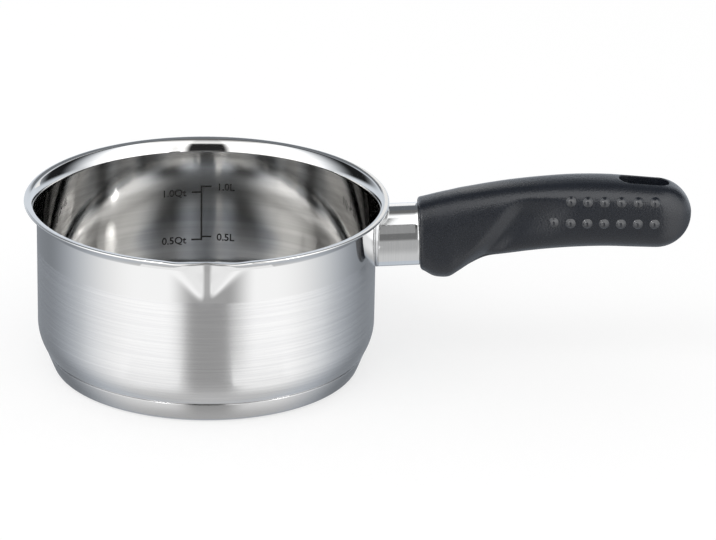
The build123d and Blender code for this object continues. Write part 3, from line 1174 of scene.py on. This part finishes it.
def carve(piece, cutter, operation):
    """Boolean of a piece with a cutter, which is then deleted."""
    cut = piece.modifiers.new("cut", "BOOLEAN")
    cut.operation = operation
    cut.object = cutter
    cut.solver = "EXACT"
    plain_mesh(piece)
    bpy.data.objects.remove(cutter)


def neck_bar(name, low, high, outline):
    """Bar along the neck with this outline of side and up."""
    rings = [[on_neck(along, side, up) for side, up in outline] for along in (low, high)]
    return add_object(name, loop_mesh(name, rings, True))


def neck_rod(name, radius, low, high):
    """Round rod on the screw's axis."""
    turns = [2 * math.pi * step / rod_points for step in range(rod_points)]
    rings = [
        [on_neck(screw_place + radius * math.cos(t), radius * math.sin(t), up) for t in turns]
        for up in (low, high)
    ]
    return add_object(name, loop_mesh(name, rings, True))


def slot_outline(grow_out):
    """Stadium of the hanging slot, grown outwards by this much."""
    half_run = (slot_length - slot_width) / 2
    radius = slot_width / 2 + grow_out
    points = []
    for step in range(slot_points):
        turn = 2 * math.pi * (step + 0.5) / slot_points
        middle = grip_end - slot_margin + math.copysign(half_run, math.cos(turn))
        points.append((middle + radius * math.cos(turn), radius * math.sin(turn)))
    return points


def skin_height(x, y, sign):
    """Height of the grip's top or bottom skin over this point."""
    middle, half_height, half_width = grip_form(x)
    across = min(abs(y) / half_width, skin_limit)
    return middle + sign * half_height * (1 - across**fullness) ** (1 / fullness)


def slot_ring(depth, grow_out, sign):
    """Ring of the slot's cutter, this deep under the skin."""
    return [(x, y, skin_height(x, y, sign) - sign * depth) for x, y in slot_outline(grow_out)]


def slot_end(sign):
    """Rings of one rounded mouth of the slot, from inside to outside."""
    made = []
    for step in range(mouth_steps + 1):
        turn = mouth_turn * step / mouth_steps
        depth = slot_round * (1 - math.sin(turn))
        grow_out = slot_round * (1 - math.cos(turn))
        made.append(slot_ring(depth, grow_out, sign))
    grow_out += cutter_proud * math.tan(mouth_turn)
    made.append(slot_ring(depth - cutter_proud, grow_out, sign))
    made.append(slot_ring(depth - cutter_proud - cutter_over, grow_out, sign))
    return made


spigot_side = sleeve_half_width - sleeve_sheet - spigot_play
spigot_up = sleeve_half_height - sleeve_sheet - spigot_play
spigot_turns = [2 * math.pi * step / spigot_points for step in range(spigot_points)]
spigot = [(spigot_side * math.cos(turn), spigot_up * math.sin(turn)) for turn in spigot_turns]
carve(grip, neck_bar("spigot", neck_length - spigot_length, neck_length + spigot_length, spigot), "UNION")
socket_sides = (-socket_half_width, socket_half_width)
socket = [(side, socket_foot) for side in socket_sides] + [(side, socket_top) for side in socket_sides[::-1]]
carve(grip, neck_bar("socket", 0, tang_length + socket_play, socket), "DIFFERENCE")
carve(grip, neck_rod("bore", screw_bore, screw_seat - bore_over, 0), "DIFFERENCE")
carve(grip, neck_rod("recess", recess_bore, recess_foot, screw_seat), "DIFFERENCE")
slot_rings = slot_end(-1)[::-1] + slot_end(1)
carve(grip, add_object("slot", loop_mesh("slot", slot_rings, True)), "DIFFERENCE")

edge_work = bmesh.new()
edge_work.from_mesh(grip.data)
for edge in edge_work.edges:
    edge.smooth = edge.calc_face_angle(0) < edge_angle
for face in edge_work.faces:
    face.smooth = True
edge_work.to_mesh(grip.data)
edge_work.free()

phenolic_dark, phenolic_light = (0.008, 0.010, 0.015, 1), (0.012, 0.015, 0.022, 1)
grain_height = 0.15 * mm
grain_scale, mottle_scale = 1000.0, 60.0
grain_rough, mottle_rough = 0.12, 0.06
grip_finish = (0.19, 0.8, 0.5)


def moulded(name, rough, relief, shine):
    """Black phenolic with this roughness, depth of grain and strength of shine."""
    material, tree = new_material(name)
    spot = tree.here()
    grain = tree.noise(spot, 3.0, grain_scale)
    mottle = tree.noise(spot, 3.0, mottle_scale)
    tone = tree.mix(mottle, phenolic_dark, phenolic_light)
    bump = tree.bump(relief, grain_height, grain)
    uneven = rough + grain_rough * grain + mottle_rough * mottle
    sockets = {"Base Color": tone, "Roughness": uneven, "Specular IOR Level": shine, "Normal": bump}
    tree.finish(tree.principled(sockets))
    return material


phenolic = moulded("grip_phenolic", *grip_finish)
grip.data.materials.clear()
grip.data.materials.append(phenolic)
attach(grip, "root")
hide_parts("grip")

# Grip nubs
# Two rows of low domes on each side of the grip, moulded with it in the same phenolic so that a wet hand
# holds, and a little glossier. Each is seated square on the skin where a ray from the side meets it.
nub_radius = 2.3 * mm
nub_height = 1.3 * mm
nub_pitch = 8.0 * mm
nub_margin = 18.9 * mm
nub_rows = {"Upper": (6, 0.842), "Lower": (7, 0.627)}
nub_columns, nub_steps = 24, 8
nub_crown = 0.8
nub_finish = (0.06, 0.15, 0.8)
skirt_place, skirt_height = 1.02, 0.12 * mm
foot_place, foot_depth = 1.12, 0.5 * mm
aim_distance, aim_reach = 40 * mm, 100 * mm


def nub_profile():
    """Half profile of a dome with a small skirt and a foot that sinks into the grip."""
    points = [(0, nub_height)]
    for step in range(1, nub_steps):
        share = step / nub_steps
        points.append((nub_radius * share, nub_height * (1 - share**2) ** nub_crown))
    foot = nub_radius * foot_place
    points += [(nub_radius * skirt_place, skirt_height), (foot, 0), (foot, -foot_depth), (0, -foot_depth)]
    return points


def nub_group():
    """Group that sets rows of domes on both sides of a surface."""
    group, names = new_group(
        "nubs",
        {
            "Profile": "NodeSocketGeometry",
            "Grip": "NodeSocketObject",
            "Pitch": "NodeSocketFloat",
            "Last place": "NodeSocketFloat",
            "Upper nubs": "NodeSocketInt",
            "Lower nubs": "NodeSocketInt",
            "Upper height": "NodeSocketFloat",
            "Lower height": "NodeSocketFloat",
        },
    )
    tree = Tree(group)
    given = tree.add("NodeGroupInput")
    dome = turn_profile(tree, given.out("Profile"), nub_columns, 1.0)
    skin = tree.add("GeometryNodeObjectInfo", {}, {"Object": given.out("Grip")}).out("Geometry")
    rows = []
    for side in (-1, 1):
        for row in nub_rows:
            start = tree.joined(given.out("Last place"), side * aim_distance, given.out(f"{row} height"))
            rows.append(
                tree.add(
                    "GeometryNodeMeshLine",
                    {"mode": "OFFSET"},
                    {
                        "Count": given.out(f"{row} nubs"),
                        "Start Location": start,
                        "Offset": tree.joined(-given.out("Pitch"), 0.0, 0.0),
                    },
                )
            )
    joined = tree.add("GeometryNodeJoinGeometry")
    for row in reversed(rows):
        group.links.new(row.node.outputs[0], joined.node.inputs[0])
    place = tree.add("GeometryNodeInputPosition")
    x, y, z = tree.split(place)
    inwards = tree.joined(0.0, -y.math("SIGN"), 0.0)
    hit = tree.add(
        "GeometryNodeRaycast",
        {"data_type": "FLOAT"},
        {
            "Target Geometry": skin,
            "Source Position": place,
            "Ray Direction": inwards,
            "Ray Length": aim_reach,
        },
    )
    turn = tree.add("FunctionNodeAlignRotationToVector", {"axis": "Z"}, {"Vector": hit.out("Hit Normal")})
    seated = tree.add(
        "GeometryNodeInstanceOnPoints", {}, {"Points": joined, "Instance": dome, "Rotation": turn}
    )
    moved = tree.add("GeometryNodeSetPosition", {}, {"Geometry": seated, "Position": hit.out("Hit Position")})
    real = tree.add("GeometryNodeRealizeInstances", {}, {"Geometry": moved})
    finish_tree(tree, real, moulded("nub_phenolic", *nub_finish))
    return group, names


nub_line = nub_profile()
nubs = add_object("grip_nubs", profile_mesh("nub_profile", nub_line, [0.0] * len(nub_line)))
nub_values = {"Grip": grip, "Pitch": nub_pitch, "Last place": grip_end - nub_margin}
for row, (count, height_share) in nub_rows.items():
    nub_values[f"{row} nubs"] = count
    nub_values[f"{row} height"] = grip_low + height_share * grip_reach
grow(nubs, *nub_group(), nub_values)
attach(nubs, "root")
